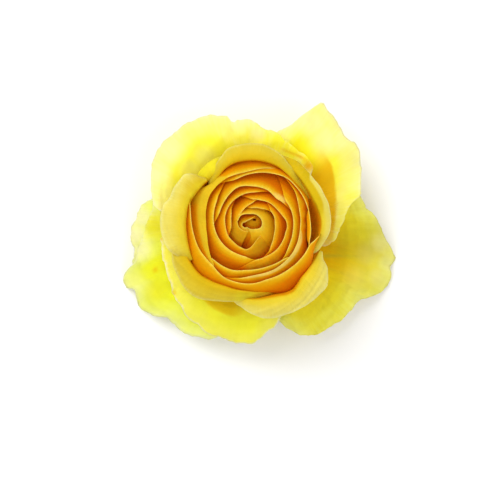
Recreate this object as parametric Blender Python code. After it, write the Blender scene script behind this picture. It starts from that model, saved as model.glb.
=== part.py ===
"""A cut rose in full bloom, lying face up on a surface.

Lengths are in millimetres until mesh_object writes them out in metres. The bloom
opens along +Z. Angles are in degrees, anticlockwise from +X as seen from above.
"""

import math

import bmesh
import bpy

MM = 0.001

# Driving dimensions
AXIS = (-3.55, -1.13)         # the bloom's axis, so that its outline is centred on the origin
PETAL_THICK = 0.36
SEPAL_THICK = 0.8
CLEARANCE = 0.3
SEAT_PEAK = 24.0             # top of the cone that the petals stand on
SEAT_SLOPE = 0.9             # how fast that cone falls outwards
SEAT_RADIUS = 7.6
SEPAL_SEAT = 2.0             # height of the band round the hip that the sepals grow from
RING_STEP = 0.7              # from one ring of petal claws to the next
FIRST_RING = 0.9
HEART_HEIGHT = 45.5          # petal tips at the axis
CUP_RISE = 0.33              # how much higher the tips stand, per millimetre outwards
STEM_RADIUS = 2.6
STEM_LENGTH = 7.0

COLOURS = {
    "petal_outer": (0.90, 0.78, 0.06),
    "petal_cup": (0.80, 0.50, 0.02),
    "petal_heart": (0.68, 0.27, 0.01),
    "sepal": (0.13, 0.24, 0.05),
    "hip": (0.17, 0.28, 0.07),
    "stem": (0.16, 0.27, 0.08),
}


def clear_scene():
    for thing in list(bpy.data.objects):
        bpy.data.objects.remove(thing)


def material(name):
    made = bpy.data.materials.get(name)
    if made:
        return made
    made = bpy.data.materials.new(name)
    made.use_nodes = True
    surface = made.node_tree.nodes["Principled BSDF"]
    surface.inputs["Base Color"].default_value = (*COLOURS[name], 1.0)
    surface.inputs["Roughness"].default_value = 0.6
    surface.inputs["Metallic"].default_value = 0.0
    return made


def mesh_object(name, finish, points, faces):
    """One object from points in millimetres about the bloom's axis."""
    mesh = bpy.data.meshes.new(name)
    mesh.from_pydata([(x * MM, y * MM, z * MM) for x, y, z in points], [], faces)
    mesh.shade_smooth()
    made = bpy.data.objects.new(name, mesh)
    made.location = (AXIS[0] * MM, AXIS[1] * MM, 0)
    mesh.materials.append(material(finish))
    bpy.context.scene.collection.objects.link(made)
    return made


def thicken(made, thickness):
    shell = made.modifiers.new("thickness", "SOLIDIFY")
    shell.thickness = thickness * MM
    shell.offset = 0
    return made


def smooth(values, share):
    """The value at a share of the way along evenly spaced values, on a smooth curve."""
    spot = min(max(share, 0.0), 1.0) * (len(values) - 1)
    left = min(int(spot), len(values) - 2)
    part = spot - left
    at = [values[min(max(left + step, 0), len(values) - 1)] for step in (-1, 0, 1, 2)]
    rise = (at[2] - at[0]) / 2
    fall = (at[3] - at[1]) / 2
    return (
        (2 * part**3 - 3 * part**2 + 1) * at[1]
        + (part**3 - 2 * part**2 + part) * rise
        + (3 * part**2 - 2 * part**3) * at[2]
        + (part**3 - part**2) * fall
    )


def ease(share):
    share = min(max(share, 0.0), 1.0)
    return share * share * (3 - 2 * share)


def bezier(ends, share):
    """A point on the cubic curve of four (radius, height) points."""
    back = 1 - share
    weights = (back**3, 3 * back**2 * share, 3 * back * share**2, share**3)
    return tuple(sum(w * end[axis] for w, end in zip(weights, ends)) for axis in (0, 1))


def seat(ring):
    """Where a petal of this ring stands on the hip."""
    radius = FIRST_RING + ring * RING_STEP
    return radius, SEAT_PEAK - SEAT_SLOPE * radius


def claw(share, narrow):
    """The petal's width at this share of its height: a narrow claw that widens."""
    return narrow + (1 - narrow) * ease((share - 0.04) / 0.6)


def sheet(name, finish, rows):
    """A petal from rows of points, foot to tip."""
    across = len(rows[0])
    points = [point for row in rows for point in row]
    faces = [
        (r * across + c, r * across + c + 1, (r + 1) * across + c + 1, (r + 1) * across + c)
        for r in range(len(rows) - 1)
        for c in range(across - 1)
    ]
    return thicken(mesh_object(name, finish, points, faces), PETAL_THICK)


def around(spot, angle, aside=(0, 0)):
    """A (radius, height) spot turned to its angle, about the axis or a line beside it."""
    turn = math.radians(angle)
    return aside[0] + spot[0] * math.cos(turn), aside[1] + spot[0] * math.sin(turn), spot[1]


def wall(ring, crest, tall, lean):
    """A cup petal's upright profile. crest is its radius at the top."""
    foot = seat(ring)
    top = HEART_HEIGHT + CUP_RISE * crest + tall
    rise = top - foot[1]
    return (
        foot,
        (foot[0] + 0.8 * (crest - foot[0]), foot[1] + 0.12 * rise),
        (crest - lean, foot[1] + 0.62 * rise),
        (crest, top),
    )


def rolled(crest, width, drop, share):
    """A lip that rolls outwards from the crest."""
    ends = (
        crest,
        (crest[0] + 0.1 * width, crest[1] + 0.45 * width),
        (crest[0] + 0.8 * width, crest[1] + 0.35 * width - 0.3 * drop),
        (crest[0] + width, crest[1] - drop),
    )
    return bezier(ends, share)


def cup_petal(name, finish, ring, span, crest, lip, tall=0.0, drop=0.5,
              sides=(0.2, 0.2), narrow=0.4, lean=0.5, aside=(0, 0), lip_rows=2, wall_rows=6):
    """A petal of the cup: a wall, and a lip that rolls outwards.

    crest and lip are lists across the petal: the radius of its crest, and the lip's width.
    sides is how much lower its two ends stand, and aside moves its top off the axis.
    """
    middle = (span[0] + span[1]) / 2
    width = span[1] - span[0]
    columns = max(5, round(width / 14))
    dips = (sides[0], 0.25 * sides[0], 0.0, 0.25 * sides[1], sides[1])
    rows = []
    for r in range(wall_rows + 1):
        row = []
        for c in range(columns + 1):
            share = c / columns
            up = r / wall_rows * (1 - smooth(dips, share))
            place = 0.5 + (share - 0.5) * claw(up, narrow)
            spot = bezier(wall(ring, smooth(crest, place), tall, lean), up)
            row.append((spot, middle + (place - 0.5) * width, ease(up)))
        rows.append(row)
    tops = rows[-1]
    for r in range(1, lip_rows + 1):
        row = []
        for c, (top, angle, moved) in enumerate(tops):
            spot = rolled(top, smooth(lip, c / columns), drop, r / lip_rows)
            row.append((spot, angle, moved))
        rows.append(row)
    return sheet(name, finish, [
        [around(spot, angle, (aside[0] * moved, aside[1] * moved)) for spot, angle, moved in row]
        for row in rows
    ])


def reach_share(ends, radius):
    """How far along a profile it reaches a radius."""
    low, high = 0.0, 1.0
    for _ in range(24):
        half = (low + high) / 2
        if bezier(ends, half)[0] < radius:
            low = half
        else:
            high = half
    return high


def outer_petal(name, ring, span, edge, droop, under, over, reach, narrow=0.34, rows=9,
                columns=10):
    """A petal of the open saucer, cut to the outline that edge gives across it.

    under and over steer its profile, reach is the profile's end, and droop is the end's
    height across the petal.
    """
    middle = (span[0] + span[1]) / 2
    width = span[1] - span[0]
    grid = []
    for r in range(rows + 1):
        row = []
        for c in range(columns + 1):
            share = c / columns
            full = (seat(ring), under, over, (reach, smooth(droop, share)))
            up = r / rows * reach_share(full, smooth(edge, share))
            place = 0.5 + (share - 0.5) * claw(up, narrow)
            profile = (seat(ring), under, over, (reach, smooth(droop, place)))
            row.append(around(bezier(profile, up), middle + (place - 0.5) * width))
        grid.append(row)
    return sheet(name, "petal_outer", grid)


def outer_petals():
    outer_petal(
        "outer_petal_left_back", 9, (156, 208), edge=(34, 40.5, 43.9, 44.6, 44),
        droop=(5, 1, 0.4, 0.4, 2), under=(20, 12.5), over=(33, 27), reach=45, columns=8,
    )
    outer_petal(
        "outer_petal_right", 9, (288, 388),
        edge=(37.5, 45.2, 47, 47.8, 50.8, 54.7, 54.7, 48.1, 42.8, 40.5, 35),
        droop=(4, 2, 0.4, 0.4, 0.4, 3, 6), under=(20, 13.5), over=(36, 34), reach=54.9,
    )
    outer_petal(
        "outer_petal_left", 8, (155, 255),
        edge=(34, 36, 37.4, 39.5, 43.5, 51.2, 50.5, 47.3, 46, 44.9, 41.5),
        droop=(12, 8, 2, 0.4, 0.4, 2, 4), under=(20, 14.5), over=(33, 36), reach=51.4,
        narrow=0.28,
    )
    outer_petal(
        "outer_petal_right_top", 8, (-22, 80),
        edge=(27.2, 30.3, 32.7, 35.2, 42.4, 46, 47.3, 48.9, 52, 38.7, 33.5),
        droop=(18, 17, 16, 17, 18), under=(21, 16), over=(33, 44), reach=52.2,
    )
    outer_petal(
        "outer_petal_bottom", 8, (186, 294),
        edge=(32, 33.6, 34.7, 36.9, 38.8, 41.1, 42.3, 43, 41.9, 37.3, 32.5),
        droop=(22, 18, 18, 20), under=(21, 16.5), over=(29, 44), reach=43.2, narrow=0.28,
    )
    outer_petal(
        "outer_petal_top", 7, (40, 172),
        edge=(30.6, 32.4, 33.2, 34.9, 39.1, 42.3, 43.7, 44, 42.8, 38.8, 34),
        droop=(30, 28, 28, 30), under=(22, 17), over=(27, 50), reach=44.2,
    )


def lip_petals():
    shape = dict(finish="petal_outer", lip_rows=3, narrow=0.42, lean=1.0)
    cup_petal("lip_petal_tucked", ring=6, span=(104, 142), crest=(25.5, 25.4, 25.0, 24.8),
              lip=(1.0, 1.9, 2.4, 1.2), tall=-7.0, **shape)
    cup_petal("lip_petal_top", ring=6, span=(34, 134),
              crest=(22.9, 23.1, 23.6, 23.8, 23.7, 22.1, 20.4),
              lip=(0.8, 1.2, 4.1, 5.8, 5.9, 3.7, 0.9), drop=1.5, **shape)
    cup_petal("lip_petal_right", ring=7, span=(-26, 56),
              crest=(24.6, 25.4, 25.8, 25.4, 25.2, 25.4, 25.9),
              lip=(1.2, 2.8, 3.4, 3.4, 3.4, 3.2, 1.6), tall=-1.0, drop=1.0, **shape)
    cup_petal("lip_petal_left", ring=6, span=(134, 212),
              crest=(22.9, 23.2, 23.9, 23.6, 23.5, 23.3, 22.2),
              lip=(1.8, 7.4, 7.0, 9.0, 8.9, 6.2, 1.4), tall=1.0, drop=2.5,
              sides=(0.1, 0.1), **shape)
    cup_petal("lip_petal_bottom", ring=7, span=(196, 292),
              crest=(25.0, 26.0, 25.4, 24.1, 23.6, 24.0, 25.2),
              lip=(1.6, 5.8, 7.6, 6.2, 3.8, 2.2, 0.9), tall=-1.5, drop=2.0,
              sides=(0.3, 0.15), **shape)
    cup_petal("lip_petal_front", ring=8, span=(252, 340),
              crest=(27.8, 27.6, 27.5, 28.0, 27.1, 26.7, 27.4),
              lip=(1.4, 3.8, 6.6, 6.6, 8.0, 7.6, 1.4), tall=-2.0, drop=2.5,
              sides=(0.25, 0.2), **shape)


def cup_petals():
    cup_petal("cup_petal_01", "petal_cup", 5, (222, 352),
              crest=(20.8, 21.7, 20.8, 20.3, 20.7, 21.9, 23.4), lip=(0.8, 1.0, 0.8))
    cup_petal("cup_petal_02", "petal_cup", 5, (-14, 112),
              crest=(20.6, 21.4, 21.5, 21.5, 20.2, 18.7, 17.2), lip=(0.8, 1.2, 1.0, 0.8))
    cup_petal("cup_petal_03", "petal_cup", 4, (162, 316),
              crest=(21.9, 21.1, 19.4, 18.6, 17.0, 16.1, 15.8, 16.3), lip=(0.8, 0.9, 0.9, 0.8))
    cup_petal("cup_petal_04", "petal_cup", 4, (258, 398),
              crest=(19.0, 17.8, 17.8, 17.9, 17.8, 18.2, 20.0), lip=(0.8, 1.2, 1.2, 0.7))
    cup_petal("cup_petal_05", "petal_cup", 5, (100, 222),
              crest=(19.3, 19.2, 18.6, 17.2, 16.2, 16.2, 16.8), lip=(0.8, 1.4, 2.2, 2.4, 1.6, 0.8))
    cup_petal("cup_petal_06", "petal_cup", 3, (320, 400),
              crest=(16.0, 15.4, 15.3, 15.5, 15.2), lip=(0.8, 1.0, 1.4, 1.2))
    cup_petal("cup_petal_07", "petal_cup", 3, (48, 164),
              crest=(13.5, 14.2, 14.2, 14.7, 13.7, 12.7, 12.1), lip=(0.8, 1.0, 1.0, 0.8))
    cup_petal("cup_petal_08", "petal_cup", 3, (138, 268),
              crest=(15.6, 14.2, 13.2, 12.4, 11.7, 11.3, 11.4), lip=(0.8, 1.0, 1.2, 2.4, 2.0))


def heart_petals():
    shape = dict(finish="petal_heart", lean=0.1)
    cup_petal("heart_petal_01", ring=2, span=(272, 452),
              crest=(12.4, 12.4, 12.6, 12.6, 11.4, 10.8, 10.4, 9.8, 9.4),
              lip=(0.8, 1.2, 1.2, 0.8), **shape)
    cup_petal("heart_petal_02", ring=2, span=(76, 246),
              crest=(12.3, 11.8, 11.2, 10.6, 9.9, 9.2, 9.0, 8.9, 8.6),
              lip=(0.7, 0.8, 0.8, 0.7), **shape)
    cup_petal("heart_petal_03", ring=1, span=(306, 402), crest=(11.0, 9.6, 8.8, 8.7, 9.0, 8.7),
              lip=(0.7, 0.8, 0.7), **shape)
    cup_petal("heart_petal_04", ring=1, span=(140, 190), crest=(9.0, 7.8, 7.2, 7.1),
              lip=(0.6, 0.7, 0.6), **shape)
    cup_petal("heart_petal_05", ring=1, span=(46, 94), crest=(7.8, 7.1, 6.6, 6.2),
              lip=(0.6, 0.7, 0.6), **shape)
    cup_petal("heart_petal_06", ring=0.4, span=(86, 214), crest=(8.1, 7.0, 6.3, 6.1, 5.6, 5.2, 5.4),
              lip=(0.5, 0.6, 0.7, 1.6), **shape)
    cup_petal("heart_petal_07", ring=0, span=(-85, 95), crest=(2.6, 3.0, 3.3, 3.2, 3.0),
              lip=(3.2, 3.4, 3.0, 2.0, 1.0), drop=2.5, aside=(1.2, -0.3), **shape)
    cup_petal("heart_petal_08", ring=-0.5, span=(110, 262), crest=(2.4, 2.3, 2.3, 2.6, 2.8),
              lip=(0.6, 0.8, 1.2, 2.8, 3.4), drop=2.0, aside=(-0.75, -0.4), **shape)
    cup_petal("heart_petal_09", ring=-0.4, span=(0, 200), crest=(1.5, 1.4, 1.3, 1.5),
              lip=(0.5, 0.5, 0.5), aside=(1.0, 0.8), **dict(shape, narrow=0.3))


def turned(name, finish, outline, sides=24):
    """A solid turned about the bloom's axis from (radius, height) points, foot to top."""
    shape = bmesh.new()
    points = [shape.verts.new((radius * MM, 0, height * MM)) for radius, height in outline]
    edges = [shape.edges.new(pair) for pair in zip(points, points[1:])]
    bmesh.ops.spin(shape, geom=points + edges, axis=(0, 0, 1), angle=2 * math.pi, steps=sides)
    bmesh.ops.remove_doubles(shape, verts=shape.verts, dist=0.00001)
    bmesh.ops.recalc_face_normals(shape, faces=shape.faces)
    mesh = bpy.data.meshes.new(name)
    shape.to_mesh(mesh)
    shape.free()
    mesh.shade_smooth()
    mesh.set_sharp_from_angle(angle=math.radians(40))
    mesh.materials.append(material(finish))
    made = bpy.data.objects.new(name, mesh)
    made.location = (AXIS[0] * MM, AXIS[1] * MM, 0)
    bpy.context.scene.collection.objects.link(made)
    return made


def hip_rim():
    return SEAT_PEAK - SEAT_SLOPE * SEAT_RADIUS - CLEARANCE - PETAL_THICK / 2


def hip_and_stem():
    foot = STEM_LENGTH + CLEARANCE
    rim = hip_rim()
    peak = rim + SEAT_SLOPE * SEAT_RADIUS
    turned("hip", "hip", [
        (0, foot), (STEM_RADIUS + 0.2, foot), (STEM_RADIUS + 1.6, foot + 1.2), (5.9, foot + 3.6),
        (SEAT_RADIUS, rim - SEPAL_SEAT), (SEAT_RADIUS, rim), (0, peak),
    ])
    turned("stem", "stem", [
        (0, 0), (STEM_RADIUS - 0.2, 0), (STEM_RADIUS, 0.2), (STEM_RADIUS, STEM_LENGTH),
        (0, STEM_LENGTH),
    ], sides=16)


def sepals():
    """Five sepals that bend down from under the petals, tips on the surface."""
    root, tip = (SEAT_RADIUS + CLEARANCE, hip_rim() - SEPAL_SEAT / 2), (29.5, 0.5)
    profile = (root, (14.5, 15.6), (24.0, 12.5), tip)
    widths = (4.6, 6.6, 7.8, 6.6, 4.2, 1.2)
    steps = 8
    for number in range(5):
        turn = math.radians(18 + 72 * number)
        points, faces = [], []
        for r in range(steps + 1):
            radius, height = bezier(profile, r / steps)
            half = smooth(widths, r / steps) / 2
            for side in (-1, -0.5, 0, 0.5, 1):
                x, y = radius, side * half
                z = height + 0.25 * half * (side * side - 1) * (1 - r / steps)
                points.append((
                    x * math.cos(turn) - y * math.sin(turn),
                    x * math.sin(turn) + y * math.cos(turn),
                    z,
                ))
        for r in range(steps):
            for c in range(4):
                faces.append((r * 5 + c, r * 5 + c + 1, (r + 1) * 5 + c + 1, (r + 1) * 5 + c))
        thicken(mesh_object(f"sepal_{number + 1}", "sepal", points, faces), SEPAL_THICK)


def main():
    clear_scene()
    hip_and_stem()
    sepals()
    outer_petals()
    lip_petals()
    cup_petals()
    heart_petals()


main()
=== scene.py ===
# %% [markdown]
# # A full-blown cut rose
# The rose lies face up on a pale table, and the camera looks straight down into it.
# Its frame, with every petal at its real size and place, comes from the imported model.
# Here each petal is made again as a thin, finely curved sheet, because the frame's petals
# are coarse shells: right for weight and contact, too plain to look at.

# %% Load the frame
import math

import bpy
import numpy as np
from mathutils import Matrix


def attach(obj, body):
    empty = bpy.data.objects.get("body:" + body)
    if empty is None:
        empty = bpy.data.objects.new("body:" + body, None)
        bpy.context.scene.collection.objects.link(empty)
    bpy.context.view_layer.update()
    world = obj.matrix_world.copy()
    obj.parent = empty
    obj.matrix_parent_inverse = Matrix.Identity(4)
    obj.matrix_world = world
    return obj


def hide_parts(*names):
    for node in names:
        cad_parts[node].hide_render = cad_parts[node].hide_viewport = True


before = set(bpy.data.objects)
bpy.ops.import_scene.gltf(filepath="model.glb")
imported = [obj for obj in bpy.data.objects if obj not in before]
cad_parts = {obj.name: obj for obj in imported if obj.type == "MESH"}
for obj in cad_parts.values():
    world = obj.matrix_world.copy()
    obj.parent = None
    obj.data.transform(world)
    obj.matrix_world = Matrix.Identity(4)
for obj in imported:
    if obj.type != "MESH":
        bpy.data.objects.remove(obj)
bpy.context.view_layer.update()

bpy.ops.object.select_all(action="DESELECT")

# %% [markdown]
# ## Measures
# A petal is easiest to describe round the flower's own axis, as a radius and a height at each
# angle. These are the measures of the frame: millimetres, and degrees anticlockwise from +X as
# seen from above. The petals stand in rings on a cone, the top of the hip. Only the petals'
# thickness is this script's own: a little less than the frame's.

# %% Measures of the bloom
MM = 0.001
AXIS = (-3.55, -1.13)
SEAT_PEAK = 24.0
SEAT_SLOPE = 0.9
SEAT_RADIUS = 7.6
FIRST_RING = 0.9
RING_STEP = 0.7
HEART_HEIGHT = 45.5
CUP_RISE = 0.33
PETAL_THICK = 0.26
print("petal thickness in mm:", PETAL_THICK)

# %% [markdown]
# ## Curves
# The rim of a real petal is never a circle: it swells, tapers and tucks in. A handful of
# (angle, value) points says how. Between them runs a monotone curve, which bends smoothly but
# never swings past its points, so that a sharp tip stays sharp.


# %% Curves through a few points
def curve(points):
    """A function through (place, value) points, smooth and without overshoot."""
    places, values = np.array(points, float).T
    steps = np.diff(places)
    slopes = np.diff(values) / steps
    tangents = np.zeros(len(values))
    for i in range(1, len(values) - 1):
        if slopes[i - 1] * slopes[i] > 0:
            before = 2 * steps[i] + steps[i - 1]
            after = steps[i] + 2 * steps[i - 1]
            tangents[i] = (before + after) / (before / slopes[i - 1] + after / slopes[i])
    tangents[0], tangents[-1] = slopes[0], slopes[-1]

    def value(place):
        place = np.clip(place, places[0], places[-1])
        i = np.clip(np.searchsorted(places, place, side="right") - 1, 0, len(steps) - 1)
        s = (place - places[i]) / steps[i]
        return (
            (2 * s**3 - 3 * s**2 + 1) * values[i]
            + (s**3 - 2 * s**2 + s) * steps[i] * tangents[i]
            + (3 * s**2 - 2 * s**3) * values[i + 1]
            + (s**3 - s**2) * steps[i] * tangents[i + 1]
        )

    return value


def spread(span, values):
    """A curve through (angle, value) points, or through values spaced evenly over the span."""
    if isinstance(values[0], tuple):
        return curve(values)
    return curve(list(zip(np.linspace(*span, len(values)), values)))


def ease(share):
    """0 before 0 and 1 past 1, with a soft start and end between them."""
    share = np.clip(share, 0.0, 1.0)
    return share * share * (3 - 2 * share)


def bezier(ends, share):
    """Radius and height at a share of the way along a curve with four (radius, height) ends."""
    back = 1 - share
    weights = (back**3, 3 * back**2 * share, 3 * back * share**2, share**3)
    return [sum(w * end[axis] for w, end in zip(weights, ends)) for axis in (0, 1)]


def ripple(seed, place):
    """A slow, uneven wave between about -1 and 1, different for each seed."""
    phases = np.random.default_rng(seed).uniform(0, 2 * math.pi, 4)
    waves = ((1.0, 0.45), (1.9, 0.3), (3.1, 0.2), (5.3, 0.12))
    return sum(size * np.sin(pace * place + turn) for (pace, size), turn in zip(waves, phases))


print("a curve through three points, halfway:", round(float(curve([(0, 0), (1, 1), (2, 0)])(0.5)), 2))

# %% [markdown]
# ## Where a petal starts
# All petals are narrow at the foot, the claw, and fan out above it. They stand on the hip's
# cone, ring inside ring. Each of the next functions takes how far a point lies across the petal
# and how far up it, both from 0 to 1, and gives the point's radius, height and angle. A petal
# that closes or rolls also says how far in from its rim the point is, in a measure that fits
# small and large petals alike: 0 at the rim, 5 at the shoulder or the lip's crest, and 10 at
# the foot.

# %% The seat and the claw
SHOULDER_MARK = 5
FOOT_MARK = 10


def seat(ring):
    """Radius and height of the place on the hip where a ring's petals stand."""
    radius = FIRST_RING + ring * RING_STEP
    return radius, SEAT_PEAK - SEAT_SLOPE * radius


def claw(share, narrow):
    """The breadth of a petal's foot beside its full breadth, at a share of the way up."""
    return narrow + (1 - narrow) * ease(share)


print("radius and height of the seats of rings 0 and 9:", seat(0), seat(9))

# %% [markdown]
# ## A half-closed petal
# The inner petals still lean in over the heart. From above one sees the back of each, from
# the rim outwards, until it dives under the rim of the next. So the sheet climbs a steep wall
# to its shoulder and bends over from there to the rim. Its two ends, past the rim's span,
# sink away below the neighbours: that is the tuck.

# %% The shape of a half-closed petal
CLOSED_WALL = 0.3


def steep_wall(foot, shoulder, height, share):
    """The steep lower part of a petal, from the hip up to its shoulder."""
    rise = height - foot[1]
    return bezier((
        foot,
        (foot[0] + 0.75 * (shoulder - foot[0]), foot[1] + 0.12 * rise),
        (shoulder, foot[1] + 0.55 * rise),
        (shoulder, height),
    ), share)


def closed_point(petal, across, up):
    """Radius, height, angle and inward measure of points on a half-closed petal."""
    low, high = petal["span"]
    tuck = petal["tuck"]
    middle = (low - tuck[0] + high + tuck[1]) / 2
    width = high - low + tuck[0] + tuck[1]
    rim_angle = middle + (across - 0.5) * width
    past = np.maximum((low - rim_angle) / tuck[0], (rim_angle - high) / tuck[1])
    up = up * (1 - 0.7 * np.clip(0.2 + 0.8 * past, 0, 1) ** 1.7)
    wall = np.minimum(up / CLOSED_WALL, 1.0)
    dome = np.clip((up - CLOSED_WALL) / (1 - CLOSED_WALL), 0.0, 1.0)
    place = middle + (across - 0.5) * width * claw(up / petal["fan"], petal["narrow"])
    rim = petal["crest"](place)
    shoulder = petal["shoulder"](place)
    shoulder = np.where(np.abs(shoulder - rim) < 0.3, rim + 0.3, shoulder)
    top = HEART_HEIGHT + CUP_RISE * rim + petal["tall"] - petal["sink"](place)
    reach = shoulder - rim
    depth = 2.4 + 0.6 * reach
    radius, height = steep_wall(seat(petal["ring"]), shoulder, top - depth, wall)
    over = bezier((
        (shoulder, top - depth),
        (shoulder, top - 0.55 * depth),
        (rim + 0.5 * reach, top - 0.3 * depth),
        (rim, top),
    ), dome)
    radius = np.where(dome > 0, over[0], radius)
    height = np.where(dome > 0, over[1], height)
    below = FOOT_MARK - (FOOT_MARK - SHOULDER_MARK) * wall
    inward = np.where(dome > 0, SHOULDER_MARK * (radius - rim) / reach, below)
    return radius, height, place, inward


print("the lower", CLOSED_WALL, "of a half-closed petal is its wall")

# %% [markdown]
# ## A petal with a lip
# The six petals round the cup stand in a wall and roll their rims outwards in a broad lip,
# which sags a little where it is broad. Towards its two sides the wall dips, so that the
# petal's corners are rounded.

# %% The shape of a rolled petal
LIP_WALL = 0.55


def lip_point(petal, across, up):
    """Radius, height, angle and inward measure of points on a petal that rolls outwards."""
    low, high = petal["span"]
    middle, width = (low + high) / 2, high - low
    dip = petal["dips"](across)
    wall = np.minimum(up / LIP_WALL, 1.0) * (1 - dip)
    rolled = np.clip((up - LIP_WALL) / (1 - LIP_WALL), 0.0, 1.0)
    place = middle + (across - 0.5) * width * claw((wall - 0.04) / 0.6, petal["narrow"])
    crest = petal["crest"](place)
    foot = seat(petal["ring"])
    top = HEART_HEIGHT + CUP_RISE * crest + petal["tall"]
    rise = top - foot[1]
    spot = bezier((
        foot,
        (foot[0] + 0.8 * (crest - foot[0]), foot[1] + 0.12 * rise),
        (crest - petal["lean"], foot[1] + 0.62 * rise),
        (crest, top),
    ), wall)
    lip = petal["lip"](place)
    drop = petal["drop"] * np.minimum(lip / 3, 1.0)
    roll = bezier((
        spot,
        (spot[0] + 0.06 * lip, spot[1] + 0.3 * lip),
        (spot[0] + 0.7 * lip, spot[1] + 0.3 * lip - 0.3 * drop),
        (spot[0] + lip, spot[1] - drop),
    ), rolled)
    radius = np.where(rolled > 0, roll[0], spot[0])
    height = np.where(rolled > 0, roll[1], spot[1])
    below = FOOT_MARK - (FOOT_MARK - SHOULDER_MARK) * wall / (1 - dip)
    inward = np.where(rolled > 0, SHOULDER_MARK * (1 - rolled), below)
    return radius, height, place, inward


print("the lower", LIP_WALL, "of a rolled petal is its wall")

# %% [markdown]
# ## An open petal
# The outer petals arch out from low on the hip like saucers and droop towards the tip. One arch
# serves the whole petal. The outline cuts it off sooner or later, so the share of the arch at
# which it comes to the outline's radius is searched for by halving. Nicks break the rim, creases
# run out like valleys, and pleats wrinkle the middle.


# %% The shape of an open petal
def reach_share(ends, radius):
    """How far along a curve its radius comes to a given one."""
    low, high = np.zeros_like(radius), np.ones_like(radius)
    for _ in range(24):
        half = (low + high) / 2
        short = bezier(ends, half)[0] < radius
        low, high = np.where(short, half, low), np.where(short, high, half)
    return high


def outer_point(petal, across, up):
    """Radius, height and angle of points on a petal that arches out from low on the hip."""
    low, high = petal["span"]
    middle, width = (low + high) / 2, high - low
    tip = middle + (across - 0.5) * width
    arch = (seat(petal["ring"]), petal["under"], petal["over"])
    full = (*arch, (petal["reach"], petal["droop"](tip)))
    edge = petal["edge"](tip) + petal["nicks"] * ripple(high, np.radians(tip) * 30)
    share = up * reach_share(full, edge)
    place = middle + (across - 0.5) * width * claw((share - 0.04) / 0.6, petal["narrow"])
    radius, height = bezier((*arch, (petal["reach"], petal["droop"](place))), share)
    for angle, depth, broad in petal["creases"]:
        beside = np.radians(place - angle) * radius / broad
        height = height - depth * np.exp(-beside * beside) * ease((radius - 14) / 22)
    belt = np.sin(np.pi * np.clip((radius - 12) / 34, 0, 1))
    pleat = petal["pleats"] * ripple(high + 3, np.radians(place) * 22) * belt
    return radius, height + pleat, place, None


print("three kinds of petal: half closed, rolled and open")

# %% [markdown]
# ## Tones
# A petal isn't coloured evenly, and three masks say where: a number from 0 to 1 at every point
# of the sheet, which the finish reads later. pale is partly the petal's own paler rim and partly
# painted highlight. bright is painted light, mostly where the petals shade each other. deep is
# painted shade: orange along folds and under the edges of overlapping petals, and the deep orange
# of a crevice between two petals, which stands for light going from petal to petal there and
# coming out yellower each time. Masks are better than painted maps here, as they follow the same
# few curves as the petals.


# %% Tones over a petal
def on_plan(angle, radius):
    """The place, as seen from above, at an angle and a radius round the flower."""
    turn = math.radians(angle)
    return np.array((AXIS[0] + radius * math.cos(turn), AXIS[1] + radius * math.sin(turn)))


def patches(spots, places):
    """Soft round patches, each (angle, radius, size, strength)."""
    amount = np.zeros(len(spots))
    for angle, radius, size, strength in places:
        away = np.linalg.norm(spots[:, :2] - on_plan(angle, radius), axis=1) / size
        amount = np.maximum(amount, strength * np.exp(-(away**3)))
    return amount


def painted_fold_shade(spots, start, end, width, strength):
    """Painted shade along a fold, from one (angle, radius) point to another, weaker towards its end.
    """
    start, end = on_plan(*start), on_plan(*end)
    along = end - start
    offset = spots[:, :2] - start
    share = np.clip(offset @ along / (along @ along), 0, 1)
    away = np.linalg.norm(offset - share[:, None] * along, axis=1) / width
    return strength * (1 - 0.6 * share) * np.exp(-(away**2))


def pale_and_highlight_tone(petal, spots, radius, angle):
    """Pale patches, and on some petals a pale fringe of a given width along the rim; both are partly
    painted highlight.
    """
    pale = patches(spots, petal.get("pale", ()))
    if "fringe" in petal:
        width = petal["fringe"](angle)
        out = (radius - petal["crest"](angle)) / np.maximum(width, 0.01)
        pale = np.maximum(pale, (1 - ease((out - 0.7) / 0.6)) * ease(width / 0.6))
    return pale


def painted_shade_tone(petal, spots, radius, angle, inward):
    """Painted shade: orange patches and folds, the shade within an edge, and the glow of a crevice.

    shade is (edge, strength), two curves round the flower. crevice is (clear, strength): how
    far past its rim the petal stays clear, and a curve. Neither reaches below a shoulder.
    """
    deep = patches(spots, petal.get("deep", ()))
    for fold in petal.get("folds", ()):
        deep = np.maximum(deep, painted_fold_shade(spots, *fold))
    if "shade" in petal:
        edge, strength = petal["shade"]
        within = 1 - ease((radius - edge(angle)) / 0.9)
        if inward is not None:
            within = within * ease((SHOULDER_MARK + 0.6 - inward) / 0.6)
        deep = np.maximum(deep, strength(angle) * within)
    if "crevice" in petal:
        clear, strength = petal["crevice"]
        without = ease((radius - petal["crest"](angle) - clear) / 2.5)
        above = ease((SHOULDER_MARK + 0.5 - inward) / 0.6)
        deep = np.maximum(deep, strength(angle) * without * above)
    return deep


print("a point at 90 degrees and 10 mm is at", on_plan(90, 10).round(2))

# %% [markdown]
# ## What the mesh remembers
# The finish needs two more measures at each point: how far in from the rim it lies, for the
# colour, and a UV map that runs across and up the petal, for the veins. The open petals have no
# shoulder, so theirs is the distance from the rim in millimetres, along the sheet.


# %% Measures kept on the mesh
def note(mesh, name, values):
    """Keeps one number at each point of the mesh."""
    kept = mesh.attributes.new(name, "FLOAT", "POINT")
    kept.data.foreach_set("value", values.astype(np.float32))


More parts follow.
